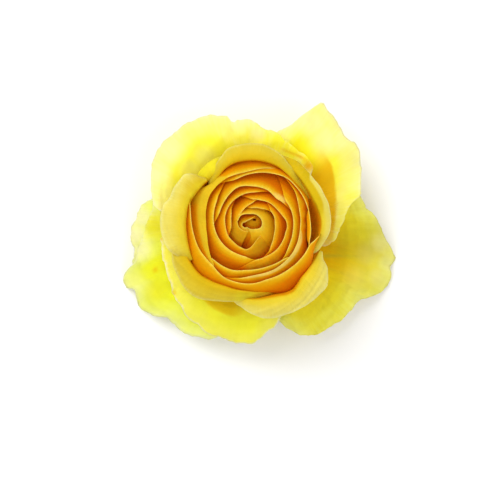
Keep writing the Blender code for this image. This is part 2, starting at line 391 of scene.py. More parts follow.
def rim_distance(spots, across, up):
    """How far each point of a sheet is from its tip or its nearer side, in millimetres."""
    order = np.lexsort((up, across))
    track = order.reshape(len(np.unique(across)), -1)
    steps = np.linalg.norm(np.diff(spots[track], axis=1), axis=2)
    away = np.zeros(len(up))
    away[track[:, :-1]] = np.cumsum(steps[:, ::-1], axis=1)[:, ::-1]
    top = spots[track[:, -1]]
    breadth = np.concatenate([[0], np.cumsum(np.linalg.norm(np.diff(top, axis=0), axis=1))])
    side = np.zeros(len(up))
    side[track] = np.minimum(breadth, breadth[-1] - breadth)[:, None]
    return np.minimum(away, side)


def note_measures(mesh, across, up, inward):
    """Keeps the inward measure, and a UV map across and up the sheet."""
    note(mesh, "from_rim", inward)
    layer = mesh.uv_layers[0]
    layer.name = "petal"
    loops = np.zeros(len(mesh.loops), np.int32)
    mesh.loops.foreach_get("vertex_index", loops)
    layer.data.foreach_set("uv", np.stack([across[loops], up[loops]], axis=1).ravel())


print("measures and tones are kept as mesh attributes")

# %% [markdown]
# ## From points to a petal
# The sheet starts as a flat grid, as a real petal starts flat in the bud. Its points are then
# laid on the petal's surface, with a slow ripple that grows towards the rim: ruffle is how high
# its waves are, and wave how long. Solidify gives the sheet the thickness of a petal, so that
# it has a back and an edge.

# %% Laying a sheet and thickening it
COLUMNS = 84
ROWS = 60


def lay_grid(name, columns, rows):
    """A flat grid, and for each of its points the shares across and up it."""
    bpy.ops.mesh.primitive_grid_add(x_subdivisions=columns, y_subdivisions=rows, size=1)
    made = bpy.context.object
    made.name = name
    flat = np.array([vertex.co[:2] for vertex in made.data.vertices])
    return made, *(np.round(flat[:, axis] + 0.5, 6) for axis in (0, 1))


def lay_petal(name, petal, point, rows):
    """One petal's sheet, laid on the surface that the point function gives."""
    made, across, up = lay_grid(name, COLUMNS, rows)
    mesh = made.data
    radius, height, angle, inward = point(petal, across, up)
    turn = np.radians(angle)
    seed = sum(ord(letter) * (spot + 1) for spot, letter in enumerate(name))
    soft = petal["ruffle"] * ease((up - 0.45) / 0.55)
    along = radius * turn / petal["wave"]
    radius = radius + 0.45 * soft * ripple(seed, along)
    height = height + soft * ripple(seed + 7, along + up)
    moved = ease(up * 1.2)
    aside = petal.get("aside", (0, 0))
    spots = np.stack([
        AXIS[0] + aside[0] * moved + radius * np.cos(turn),
        AXIS[1] + aside[1] * moved + radius * np.sin(turn),
        np.maximum(height, PETAL_THICK),
    ], axis=1)
    mesh.vertices.foreach_set("co", (spots * MM).ravel())
    note_measures(mesh, across, up, rim_distance(spots, across, up) if inward is None else inward)
    # pale is partly painted highlight, deep is painted shade, and bright is painted light.
    note(mesh, "pale", pale_and_highlight_tone(petal, spots, radius, angle))
    note(mesh, "deep", painted_shade_tone(petal, spots, radius, angle, inward))
    note(mesh, "bright", patches(spots, petal.get("bright", ())))
    return made


def thicken(made, thickness):
    """Gives a sheet its thickness, half to each side, and shades it smooth."""
    bpy.ops.object.select_all(action="DESELECT")
    made.select_set(True)
    bpy.context.view_layer.objects.active = made
    shell = made.modifiers.new("thickness", "SOLIDIFY")
    shell.thickness = thickness * MM
    shell.offset = 0.0
    bpy.ops.object.modifier_apply(modifier="thickness")
    bpy.ops.object.shade_smooth()
    made.select_set(False)


print("a petal's grid is", COLUMNS, "by", ROWS, "faces")

# %% [markdown]
# A finished piece gets its material and takes the place of its node in the frame. The wall of
# a lip petal is orange only on the face that looks into the cup, an orange that is partly painted
# shade of the cup. Its outer face stays golden, so there the inward measure stops short of the
# orange.

# %% Dressing a petal
LIP_GOLD = 4.2


def dress(made, node, finish):
    """Gives the piece its finish, and rides it on the bloom in place of its frame node."""
    made.data.materials.clear()
    made.data.materials.append(finish)
    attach(made, "root")
    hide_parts(node)


def golden_outside(mesh):
    """Stops the inward measure at the gold on all faces that look away from the axis."""
    measure = mesh.attributes["from_rim"].data
    for vertex in mesh.vertices:
        place, facing = vertex.co, vertex.normal
        outwards = (place.x - AXIS[0] * MM) * facing.x + (place.y - AXIS[1] * MM) * facing.y
        if outwards > 0:
            measure[vertex.index].value = min(measure[vertex.index].value, LIP_GOLD)


def make_petal(node, slot, finish, point, rows=ROWS, **shape):
    """Makes one whole petal in place of its frame node."""
    made = lay_petal("bloom_" + node, shape, point, rows)
    thicken(made, PETAL_THICK)
    if "lip" in shape:
        golden_outside(made.data)
    dress(made, node, finish)


print("a lip's outer face keeps the colour at", LIP_GOLD, "all the way down")

# %% [markdown]
# ## Building node trees
# Every finish here is a tree of nodes. Three small helpers keep the trees readable: one adds
# any node and feeds its sockets, one does arithmetic, and one lays a colour over another.


# %% Helpers for node trees
def add_node(tree, kind, feeds=(), **settings):
    """Adds a node and feeds its sockets, by name or number: a value, or an output to link."""
    made = tree.nodes.new(kind)
    for setting, value in settings.items():
        setattr(made, setting, value)
    for socket, feed in dict(feeds).items():
        if isinstance(feed, bpy.types.NodeSocket):
            tree.links.new(feed, made.inputs[socket])
        else:
            made.inputs[socket].default_value = feed
    return made


def maths(tree, operation, *values):
    """The result of arithmetic on values and outputs."""
    return add_node(tree, "ShaderNodeMath", enumerate(values), operation=operation).outputs[0]


def lay_over(tree, share, below, above, blend="MIX"):
    """One colour laid over another, by a share from 0 to 1."""
    feeds = {"Factor": share, "A": below, "B": (*above, 1)}
    made = add_node(tree, "ShaderNodeMix", feeds, data_type="RGBA", blend_type=blend)
    return made.outputs["Result"]


def ramp(tree, place, stops, interpolation="LINEAR"):
    """A colour that follows a value from 0 to 1 through (position, colour) stops."""
    made = add_node(tree, "ShaderNodeValToRGB", {"Fac": place})
    made.color_ramp.interpolation = interpolation
    for number, (position, colour) in enumerate(stops):
        if number < 2:
            stop = made.color_ramp.elements[number]
            stop.position = position
        else:
            stop = made.color_ramp.elements.new(position)
        stop.color = (*colour, 1)
    return made.outputs["Color"]


print("node helpers: add_node, maths, lay_over and ramp")

# %% [markdown]
# ## Veins and clouds
# Fine veins fan out along a petal from its claw, and soft cloudy patches lie over it. Both are
# noise: the veins are noise drawn out along the petal's UV map, and the clouds are noise in
# space. As every petal has them, they are one node group, made once.

# %% Veins and clouds, as a node group
VEIN_COUNT = 60.0
VEIN_STRETCH = 4.0
CLOUD_SCALE = 150.0


def contrast(tree, value):
    """A noise's middle range, spread over 0 to 1."""
    feeds = {"Value": value, "From Min": 0.35, "From Max": 0.65}
    return add_node(tree, "ShaderNodeMapRange", feeds).outputs[0]


def petal_marks():
    """A node group: veins and clouds as masks from 0 to 1, and a height for bump."""
    group = bpy.data.node_groups.new("petal marks", "ShaderNodeTree")
    for name, way in (("Vein count", "INPUT"), ("Veins", "OUTPUT"), ("Clouds", "OUTPUT"),
                      ("Height", "OUTPUT")):
        group.interface.new_socket(name=name, in_out=way, socket_type="NodeSocketFloat")
    given = add_node(group, "NodeGroupInput")
    place = add_node(group, "ShaderNodeUVMap", uv_map="petal")
    split = add_node(group, "ShaderNodeSeparateXYZ", {0: place.outputs["UV"]})
    fan = maths(group, "MULTIPLY", split.outputs["X"], given.outputs["Vein count"])
    rise = maths(group, "MULTIPLY", split.outputs["Y"], VEIN_STRETCH)
    lay = add_node(group, "ShaderNodeCombineXYZ", {"X": fan, "Y": rise})
    streaks = add_node(group, "ShaderNodeTexNoise", {
        "Vector": lay.outputs[0], "Scale": 1.0, "Detail": 4.0, "Distortion": 0.8})
    around = add_node(group, "ShaderNodeTexCoord")
    clouds = add_node(group, "ShaderNodeTexNoise", {
        "Vector": around.outputs["Object"], "Scale": CLOUD_SCALE, "Detail": 8.0})
    add_node(group, "NodeGroupOutput", {
        "Veins": contrast(group, streaks.outputs["Fac"]),
        "Clouds": contrast(group, clouds.outputs["Fac"]),
        "Height": streaks.outputs["Fac"]})
    return group


MARKS = petal_marks()
print("made the node group", MARKS.name)

# %% [markdown]
# ## Petal colour
# A ramp over the inward measure gives the colour. Real rose petals are palest at the rim, where
# the tissue is thinnest, and deepen to orange in the cup; the deepest orange of the ramps, far in,
# is partly painted shade too. The bright tone (painted light), the deep tone (painted shade) and
# the pale tone (partly painted highlight) are laid over the ramp in that order, made a little
# uneven by the veins. Then come the veins and the clouds themselves.

# %% The colour of a petal
VEIN_SWAY = 0.01
VEIN_SHARE = 0.2
CLOUD_SHARE = 0.06
TONE_LEAST, TONE_VARIES = 0.88, 0.24


def petal_colour(tree, marks, stops, veins, tones):
    """Base colour from (inward measure, colour) stops, the veins' colour and named tones."""
    furthest = stops[-1][0]
    measure = add_node(tree, "ShaderNodeAttribute", attribute_name="from_rim").outputs["Fac"]
    vein = marks.outputs["Veins"]
    swayed = maths(tree, "MULTIPLY_ADD", vein, VEIN_SWAY * furthest, measure)
    share = maths(tree, "DIVIDE", swayed, furthest)
    places = [(inward / furthest, colour) for inward, colour in stops]
    colour = ramp(tree, share, places, "EASE")
    uneven = maths(tree, "MULTIPLY_ADD", vein, TONE_VARIES, TONE_LEAST)
    # The tones: bright is painted light, deep is painted shade, and pale is partly painted highlight.
    for tone, tone_colour in tones.items():
        amount = add_node(tree, "ShaderNodeAttribute", attribute_name=tone).outputs["Fac"]
        colour = lay_over(tree, maths(tree, "MULTIPLY", amount, uneven), colour, tone_colour)
    colour = lay_over(tree, maths(tree, "MULTIPLY", vein, VEIN_SHARE), colour, veins)
    light = maths(tree, "MULTIPLY_ADD", marks.outputs["Clouds"], CLOUD_SHARE, 1 - CLOUD_SHARE)
    feeds = {0: colour, "Scale": light}
    return add_node(tree, "ShaderNodeVectorMath", feeds, operation="SCALE").outputs[0]


print("tones are mixed in at", TONE_LEAST, "to", TONE_LEAST + TONE_VARIES, "of their strength")

# %% [markdown]
# ## Petal finish
# A petal is thin and full of water and air: light falls on it softly, and some goes through.
# So the material mixes a matt surface with a translucent one, whose colour is warmer because
# the light has passed through the tissue. The veins also raise the surface a very little.

# %% The finish of a petal
VEIN_RELIEF = 0.00012
THROUGH_TISSUE = (1.0, 0.92, 0.6)
# The default colour of the bright tone, which is painted light.
PAINTED_LIGHT_YELLOW = (0.93, 0.88, 0.03)


def petal_finish(name, stops, veins, pale, deep, bright=PAINTED_LIGHT_YELLOW, glow=0.35):
    """A petal's material. glow is the share of it that lets light through."""
    made = bpy.data.materials.new(name)
    made.use_nodes = True
    tree = made.node_tree
    tree.nodes.clear()
    marks = add_node(tree, "ShaderNodeGroup", node_tree=MARKS)
    marks.inputs["Vein count"].default_value = VEIN_COUNT
    tones = {"bright": bright, "deep": deep, "pale": pale}
    colour = petal_colour(tree, marks, stops, veins, tones)
    relief = add_node(tree, "ShaderNodeBump", {
        "Distance": VEIN_RELIEF, "Height": marks.outputs["Height"]}).outputs[0]
    skin = add_node(tree, "ShaderNodeBsdfPrincipled", {
        "Base Color": colour, "Roughness": 0.55, "Specular IOR Level": 0.03, "Normal": relief})
    through = lay_over(tree, 1.0, colour, THROUGH_TISSUE, "MULTIPLY")
    passing = add_node(tree, "ShaderNodeBsdfTranslucent", {"Color": through, "Normal": relief})
    both = add_node(tree, "ShaderNodeMixShader", {
        "Fac": glow, 1: skin.outputs[0], 2: passing.outputs[0]})
    add_node(tree, "ShaderNodeOutputMaterial", {"Surface": both.outputs[0]})
    return made


print("light through a petal is tinted", THROUGH_TISSUE)

# %% [markdown]
# ## The outer petals' finishes
# The open petals differ a little in hue: lemon, fresh yellow, greenish lemon and olive gold.
# Their inward measure is in millimetres, so each list runs from the rim to far down the petal;
# its near-white first stop at the rim is partly painted highlight. After the list come the
# colours of the veins, the pale tone, partly painted highlight, and the deep tone, which is
# painted shade.

# %% Finishes of the open petals
PALE_AND_HIGHLIGHT_CREAM = (1.0, 0.98, 0.60)
PALE_AND_HIGHLIGHT_STRAW = (0.95, 0.70, 0.10)
PAINTED_SHADE_OCHRE = (0.90, 0.68, 0.006)
PAINTED_SHADE_AMBER = (0.88, 0.56, 0.004)
PAINTED_SHADE_BRONZE = (0.74, 0.54, 0.006)
PAINTED_SHADE_OLIVE = (0.64, 0.56, 0.03)
PAINTED_SHADE_RED = (0.86, 0.21, 0.002)
FINISHES = {
    "lemon": petal_finish("lemon petal", [
        (0, (1.0, 1.0, 0.80)), (0.5, (1.0, 0.99, 0.52)), (2, (1.0, 0.98, 0.38)),
        (7, (0.99, 0.97, 0.26)), (13, (0.97, 0.95, 0.07)), (19, (0.96, 0.91, 0.015)),
        (34, (0.90, 0.66, 0.004)),
    ], (0.92, 0.87, 0.06), PALE_AND_HIGHLIGHT_CREAM, PAINTED_SHADE_AMBER, bright=(1.0, 0.99, 0.05)),
    "fresh": petal_finish("fresh yellow petal", [
        (0, (1.0, 1.0, 0.88)), (0.5, (1.0, 0.98, 0.44)), (1.6, (0.99, 0.98, 0.14)),
        (12, (0.98, 0.98, 0.05)), (26, (0.93, 0.78, 0.006)),
    ], (0.92, 0.88, 0.05), PALE_AND_HIGHLIGHT_CREAM, PAINTED_SHADE_OCHRE),
    "lime": petal_finish("greenish lemon petal", [
        (0, (0.97, 1.0, 0.75)), (0.5, (0.96, 1.0, 0.45)), (3, (0.95, 1.0, 0.26)),
        (9, (0.94, 0.99, 0.12)), (16, (0.95, 0.98, 0.03)), (34, (0.90, 0.84, 0.01)),
    ], (0.88, 0.93, 0.08), PALE_AND_HIGHLIGHT_CREAM, PAINTED_SHADE_OCHRE),
    "olive": petal_finish("olive gold petal", [
        (0, (0.96, 0.97, 0.26)), (5, (0.95, 0.95, 0.14)), (11, (0.93, 0.86, 0.04)),
        (18, (0.94, 0.78, 0.012)), (32, (0.90, 0.60, 0.003)),
    ], (0.84, 0.74, 0.02), PALE_AND_HIGHLIGHT_CREAM, PAINTED_SHADE_OLIVE),
}
print("open petals:", ", ".join(FINISHES))

# %% [markdown]
# ## The finishes of the lips, the cup and the heart
# Here the lists run from 0 at the rim over 5 at the shoulder or the lip's crest to 10 at the
# foot. A lip is lemon or gold as far as its crest and turns orange down the wall. The petals
# of the cup and the heart have a thin pale yellow rim, partly painted highlight, and glow
# deeper orange the further in they reach, partly their own colour and partly painted shade of
# the crevices between them. The outer two kinds turn golden again below the shoulder, where
# their backs show from the side.

# %% Finishes of the lips, the cup and the heart
FINISHES |= {
    "lemon lip": petal_finish("lemon lip petal", [
        (0, (0.93, 0.91, 0.34)), (1.0, (0.88, 0.81, 0.17)), (3.6, (0.84, 0.70, 0.04)),
        (4.8, (0.86, 0.60, 0.01)), (5.2, (0.98, 0.54, 0.004)), (6.2, (1.0, 0.47, 0.004)),
        (10, (1.0, 0.38, 0.003)),
    ], (0.80, 0.64, 0.03), PALE_AND_HIGHLIGHT_CREAM, PAINTED_SHADE_BRONZE),
    "gold lip": petal_finish("gold lip petal", [
        (0, (0.88, 0.82, 0.18)), (1.0, (0.81, 0.67, 0.05)), (3.6, (0.78, 0.57, 0.012)),
        (4.8, (0.83, 0.52, 0.006)), (5.2, (0.96, 0.51, 0.003)), (6.2, (1.0, 0.47, 0.003)),
        (10, (1.0, 0.38, 0.002)),
    ], (0.74, 0.53, 0.01), PALE_AND_HIGHLIGHT_CREAM, PAINTED_SHADE_OCHRE),
    "cup": petal_finish("cup petal", [
        (0, (1.0, 0.92, 0.20)), (0.2, (0.99, 0.83, 0.07)), (0.9, (0.95, 0.66, 0.012)),
        (1.5, (0.94, 0.54, 0.004)), (2.2, (0.91, 0.37, 0.0015)), (3.2, (0.86, 0.25, 0.0008)),
        (6, (0.88, 0.22, 0.0005)), (10, (0.88, 0.20, 0.0005)),
    ], (0.89, 0.44, 0.003), (0.99, 0.88, 0.20), PAINTED_SHADE_RED, bright=(0.93, 0.62, 0.012), glow=0.4),
    "outer cup": petal_finish("outer cup petal", [
        (0, (1.0, 0.92, 0.20)), (0.2, (0.99, 0.83, 0.07)), (1.0, (0.93, 0.62, 0.010)),
        (1.7, (0.93, 0.56, 0.005)), (2.4, (0.93, 0.50, 0.003)), (3.4, (0.94, 0.46, 0.002)),
        (4.9, (0.94, 0.42, 0.001)), (5.5, (0.93, 0.66, 0.008)), (10, (0.92, 0.62, 0.01)),
    ], (0.89, 0.46, 0.003), PALE_AND_HIGHLIGHT_STRAW, PAINTED_SHADE_RED, bright=(0.90, 0.70, 0.02), glow=0.45),
    "rolled": petal_finish("rolled cup petal", [
        (0, (1.0, 0.92, 0.20)), (0.2, (0.98, 0.83, 0.07)), (1.2, (0.93, 0.66, 0.012)),
        (1.62, (0.93, 0.60, 0.008)), (1.8, (0.95, 0.47, 0.002)), (4.9, (0.95, 0.42, 0.0012)),
        (5.5, (0.93, 0.66, 0.008)), (10, (0.92, 0.62, 0.01)),
    ], (0.89, 0.50, 0.003), (0.92, 0.76, 0.03), PAINTED_SHADE_RED, glow=0.45),
    "heart": petal_finish("heart petal", [
        (0, (1.0, 0.90, 0.18)), (0.2, (1.0, 0.78, 0.05)), (0.9, (0.98, 0.59, 0.006)),
        (1.6, (0.95, 0.46, 0.002)), (2.4, (0.92, 0.31, 0.001)), (3.4, (0.86, 0.20, 0.0005)),
        (6, (0.88, 0.19, 0.0005)), (10, (0.88, 0.18, 0.0005)),
    ], (0.90, 0.36, 0.003), PALE_AND_HIGHLIGHT_STRAW, PAINTED_SHADE_RED, bright=(0.93, 0.63, 0.015), glow=0.45),
    "bud": petal_finish("bud petal", [
        (0, (1.0, 0.92, 0.20)), (0.2, (1.0, 0.84, 0.07)), (1.2, (1.0, 0.72, 0.02)),
        (2.6, (1.0, 0.65, 0.01)), (3.4, (0.94, 0.52, 0.003)), (4.1, (0.92, 0.34, 0.001)),
        (5, (0.92, 0.28, 0.0005)), (10, (0.9, 0.22, 0.0005)),
    ], (0.90, 0.46, 0.004), PALE_AND_HIGHLIGHT_STRAW, PAINTED_SHADE_RED, bright=(0.93, 0.63, 0.015), glow=0.45),
    "core": petal_finish("core petal", [
        (0, (1.0, 0.55, 0.02)), (0.5, (1.0, 0.58, 0.01)), (1.6, (1.0, 0.62, 0.01)),
        (2.6, (1.0, 0.38, 0.002)), (3.4, (0.95, 0.18, 0.0005)), (10, (0.8, 0.10, 0.0005)),
    ], (0.95, 0.3, 0.003), PALE_AND_HIGHLIGHT_STRAW, PAINTED_SHADE_RED, glow=0.5),
}
print("all petal finishes:", ", ".join(FINISHES))

# %% [markdown]
# ## The outer petals
# Six petals open flat round the cup. The lowest three lie on the table at their tips. Each
# outline is a few (angle, radius) points, closer together where the rim has a tip or a notch,
# and droop is how high the tip stands along the rim. The arch in between is pulled towards two
# (radius, height) points, one under it near the foot and one over it.

# %% The low outer petals
OUTER = dict(slot="petal_outer", point=outer_point, narrow=0.34, creases=(), nicks=0.4,
             pleats=0.22, ruffle=0.7, wave=6.0)


def outer_petal(node, finish, ring, span, edge, droop, **shape):
    """One open petal, from its outline and the heights along its tip."""
    shape = {**OUTER, **shape}
    make_petal(node, finish=FINISHES[finish], ring=ring, span=span, edge=curve(edge),
               droop=spread(span, droop), **shape)


# bright patches here are painted light, deep patches and folds are painted shade, and pale patches
# are partly painted highlight.
outer_petal(
    "outer_petal_left_back", "lime", 9, (154, 210),
    edge=((154, 30), (157, 34), (164, 37.2), (170, 41.1), (176, 41.8), (181, 43.7), (187, 44.1),
          (192, 43.7), (197, 45.3), (203, 43), (210, 38)),
    droop=(5, 1, 0.4, 0.4, 2), under=(20, 12.5), over=(33, 27), reach=46,
    pale=((184, 42.5, 4.5, 0.9), (176, 40, 4, 0.8), (192, 43, 4, 0.6)),
)
outer_petal(
    "outer_petal_right", "olive", 9, (284, 389),
    edge=((284, 31), (287, 36.8), (291, 40.5), (295, 44.2), (303, 46.3), (313, 47.5), (321, 48.0),
          (325.6, 47.7), (330, 51.5), (335, 54.1), (341, 54.4), (343.5, 52.9), (347, 54.6),
          (351, 51.5), (358, 48.1), (366, 44.6), (369, 42.6), (375, 41.2), (382, 37), (389, 30)),
    droop=(4, 2, 0.4, 0.4, 0.4, 3, 6), under=(20, 13.5), over=(36, 34), reach=54.9,
    creases=((347, 2.8, 3.0), (322, 1.0, 5.0)),
    pale=((338, 50, 4, 0.3), (345, 52, 4, 0.35), (352, 48, 4, 0.35), (346, 44.7, 5, 0.15),
          (333, 44.4, 6, 0.15)),
    bright=((304, 45, 6, 0.6), (314, 46, 4, 0.5), (336, 47, 5, 0.5)), pleats=0.35,
    deep=((353, 43, 8, 0.6), (351, 37, 7, 0.5)),
    folds=(((338, 29), (347, 50), 0.7, 0.8), ((331, 30), (334, 47), 0.6, 0.35),
           ((352, 31), (356, 43), 0.6, 0.35), ((318, 30), (316, 42), 0.7, 0.35)),
)
outer_petal(
    "outer_petal_left", "lime", 8, (155, 258),
    edge=((155, 28), (160, 34), (164, 35.8), (173, 37), (182, 38.6), (190, 41.5), (198, 45.4),
          (200.5, 49.3), (203, 50.8), (206.4, 51), (208.7, 48.9), (213, 49.7), (216.4, 50.3),
          (221, 49.1), (225, 47.0), (228, 45.4), (233, 45.9), (238, 45.9), (244, 45.1), (251, 43.5),
          (258, 38)),
    droop=(12, 8, 2, 0.4, 0.4, 2, 4), under=(20, 14.5), over=(33, 36), reach=51.4, narrow=0.28,
    pale=((192, 41, 4, 0.7), (206, 48, 5, 0.3)),
    bright=((180, 35, 5, 0.9), (214, 42, 4, 0.5)),
    deep=((204.6, 38.3, 1.0, 0.9),),
)
print("three low outer petals")

# %% [markdown]
# The other three lie higher and reach less far. Two of them meet the cup in a fold where their
# colour changes at an edge, so they have a painted shade that ends there. Here too bright is
# painted light, and deep and folds are painted shade.

# %% The high outer petals
outer_petal(
    "outer_petal_right_top", "lemon", 8, (-24, 82),
    edge=((-24, 24), (-21, 27), (-11, 30.5), (-4, 31.9), (3, 33.6), (9, 35.4), (13, 38), (16, 41.3),
          (23, 43.5), (29, 45.9), (35, 48.2), (38, 48.4), (41, 47.2), (47, 48), (53, 49.8),
          (57.5, 51.2), (60, 51.9), (62, 48.8), (65, 44.4), (69, 39.2), (75, 35), (82, 31)),
    droop=(18, 17, 16, 17, 18), under=(21, 16), over=(33, 44), reach=52.2,
    bright=((14.4, 38, 3.5, 0.6), (8, 34.5, 3.5, 0.6), (0, 32, 3.5, 0.6), (352, 30, 3, 0.6)),
    creases=((28, 1.6, 4.0),),
    pale=((59, 43, 5, 0.6), (50, 41, 5, 0.6), (43, 44, 3, 0.4)),
    shade=(curve(((-24, 29), (0, 30), (5, 30.4), (11, 31.1), (24, 33.1), (32, 35), (40, 36.6),
                  (50, 37), (82, 37))),
           curve(((-24, 0.2), (-6, 0.6), (4, 1), (36, 1), (43, 0.5), (50, 0), (82, 0)))),
)
outer_petal(
    "outer_petal_bottom", "fresh", 8, (184, 296),
    edge=((184, 27), (188, 33), (196, 33.6), (204, 34.2), (212, 35.5), (220, 37.2), (230, 39),
          (237, 40.8), (243, 41.3), (250, 42.2), (257, 42), (263, 43), (270, 42.7), (275, 41),
          (279, 38.8), (284, 37), (289, 34.5), (296, 28)),
    droop=(22, 18, 18, 20), under=(21, 16.5), over=(29, 44), reach=43.2, narrow=0.28,
    deep=((187.5, 33, 1.1, 0.9), (221, 37, 0.9, 0.9)),
    shade=(curve(((184, 31), (236, 31.4), (239, 31.8), (248, 32.5), (258, 33.0), (266, 31.6),
                  (270, 31), (296, 31))),
           curve(((184, 0), (235, 0), (239, 0.7), (242, 1), (256, 1), (261, 0.6), (266, 0.1),
                  (270, 0), (296, 0)))),
)
outer_petal(
    "outer_petal_top", "lemon", 7, (40, 174),
    edge=((40, 28), (44, 31.3), (51, 32.2), (57, 32.4), (64, 32.8), (75, 34.8), (82, 35.5),
          (88, 37.6), (93, 39), (98, 38.4), (99.7, 37.6), (102, 40.6), (113, 42.9), (121, 43.8),
          (130, 44), (140, 43.8), (150, 41.6), (160, 38.3), (168, 36), (174, 29)),
    droop=(30, 28, 28, 30), under=(22, 17), over=(27, 50), reach=44.3,
    pale=((80, 39, 5, 0.6), (137, 40, 5, 0.6), (150, 38.5, 4, 0.6), (93, 38, 3, 0.5),
          (96, 36, 3, 0.5), (85, 34, 3, 0.6), (137, 30, 4, 0.25), (124, 30.5, 4, 0.25)),
    bright=((119, 31, 5.5, 1.0), (130, 30, 5.5, 1.0), (142, 30, 4, 0.8), (61, 31, 5, 1.0),
            (50, 32, 4, 1.0), (72, 32, 5, 1.0), (82, 33, 5, 1.0), (95, 33, 4, 0.8)),
    deep=((46, 30.2, 1.8, 1.0), (42, 30.8, 1.3, 0.8)),
    folds=(((43.5, 31.5), (53, 31.0), 0.6, 1.0), ((53, 31.0), (68, 30.1), 0.5, 1.0)),
)
print("three high outer petals")

# %% [markdown]
# ## The rims of the cup
# Seen from above, a rose is a set of rims, one inside the other. So the cup and the heart are
# written down as rims: the ring that a petal stands in, the angles that its rim spans, and the
# rim's radius along them, its crest. The lips also have a width, how far they roll outwards
# past the crest, and a drop, how far the edge sags. tall lifts or lowers a whole petal, and
# lean and sides shape its wall.

# %% The lips' rims
# On the lips, bright patches are painted light, and deep patches and shade are painted shade.
LIPS = {
    "lip_petal_tucked": dict(
        ring=6, span=(104, 142),
        crest=((104, 22.9), (114, 22.8), (124, 22.4), (132, 22.4), (142, 23.2)),
        lip=((104, 3.6), (114, 4.4), (124, 5.0), (132, 4.8), (142, 2.8)),
        tall=-5.0, finish="gold lip",
        bright=((112, 26.5, 3, 0.8), (122, 26.5, 4, 1.0), (132, 26.5, 4, 1.0), (140, 26, 3, 0.9))),
    "lip_petal_top": dict(
        ring=6, span=(25, 138),
        crest=((25, 22.8), (34, 22.3), (42, 22.2), (50, 22.6), (59, 23.1), (67, 23.6), (84, 23.8),
               (101, 23.7), (108, 23.4), (114, 22.8), (124, 21.3), (130, 20.7), (138, 20.2)),
        lip=((25, 0.7), (29, 1.6), (34, 2.1), (48, 2.6), (58, 3.0), (67, 4.2), (75, 5.1), (82, 5.7),
             (91, 5.8), (99, 5.9), (107, 5.6), (113, 4.4), (124, 3.4), (130, 2.5), (138, 1.4)),
        drop=1.5, sides=(0.15, 0.15), finish="gold lip"),
    "lip_petal_right": dict(
        ring=7, span=(-26, 74),
        crest=((-26, 24.6), (-12, 25.4), (1, 25.8), (9, 25.5), (15, 25.1), (25, 24.5), (34, 24.5),
               (39, 24.7), (48, 25.2), (54, 25.8), (66, 27.0), (74, 27.4)),
        lip=((-26, 0.8), (-21, 2.0), (-13, 2.3), (-3, 3.2), (9, 3.5), (19, 4.1), (29, 4.2),
             (39, 3.8), (45, 3.5), (53, 3.2), (62, 2.2), (70, 1.4), (74, 0.9)),
        tall=-1.0, drop=1.0, lean=2.6, finish="lemon lip",
        shade=(curve(((-26, 24), (0, 25.4), (10, 26.1), (18, 26.7), (30, 26.5), (37.5, 26.4),
                      (41, 27.6), (46, 31), (74, 31))),
               curve(((-26, 0), (5, 0), (12, 0.8), (18, 1), (60, 1), (68, 0.7), (74, 0.5))))),
    "lip_petal_left": dict(
        ring=6, span=(134, 210),
        crest=(22.9, 23.2, 23.9, 23.6, 23.5, 23.8, 24.6),
        lip=((134, 1.2), (136, 2.6), (138.5, 5.5), (144, 7.5), (153, 7.4), (160, 7.0), (167, 8.5),
             (176, 9.3), (186, 8.8), (195, 7.6), (202, 5.0), (207, 2.4), (210, 1.0)),
        tall=0.0, drop=2.0, sides=(0.1, 0.1), finish="lemon lip",
        bright=((143, 23.4, 1.5, 0.6), (152, 23.6, 1.5, 0.6), (160, 23.4, 1.5, 0.5)),
        deep=((138, 25.5, 3.0, 0.6), (147, 26, 3.0, 0.55), (157, 26, 2.5, 0.3), (209, 25, 2.2, 0.8),
              (204.5, 27.6, 2.2, 0.7), (200, 29.2, 2.0, 0.4))),
    "lip_petal_bottom": dict(
        ring=7, span=(192, 292),
        crest=(24.6, 25.7, 25.7, 24.6, 23.7, 23.7, 24.3, 25.2),
        lip=((192, 1.5), (197, 4.5), (205, 5.8), (214, 6.2), (223, 7.3), (232, 7.9), (240, 6.9),
             (249, 5.5), (258, 4.2), (268, 3.0), (280, 1.9), (292, 0.8)),
        tall=-1.5, drop=4.5, sides=(0.12, 0.15), finish="gold lip",
        bright=((262, 26.5, 2.5, 0.5), (270, 26.3, 2, 0.8))),
    "lip_petal_front": dict(
        ring=8, span=(252, 340),
        crest=((252, 27.5), (266, 27.0), (281, 26.9), (290, 27.2), (298, 28.1), (303, 28.3),
               (308, 27.5), (316, 26.4), (325, 26.4), (336, 27.2), (340, 27.6)),
        lip=((252, 0.8), (256, 1.6), (262, 2.9), (269, 4.9), (277, 6.6), (285, 7.5), (291, 7.2),
             (301, 6.5), (308, 7.6), (314, 8.5), (320.5, 8.8), (326.5, 7.3), (331.5, 5.3),
             (335, 2.6), (340, 0.8)),
        tall=-2.0, drop=2.5, lean=1.6, sides=(0.25, 0.2), finish="lemon lip"),
}
print(len(LIPS), "lips have rims")

# %% [markdown]
# Inside the lips lie the cup's eight petals. Here tuck is how far a petal goes on, in degrees,
# under its neighbours on either side, and sink lowers its rim where it slips below the next.
# cover is how far the petal's shoulder reaches past the rim outside it. crevice is painted shade
# beyond a petal's rim, bright is painted light, and pale and fringe are partly painted highlight.

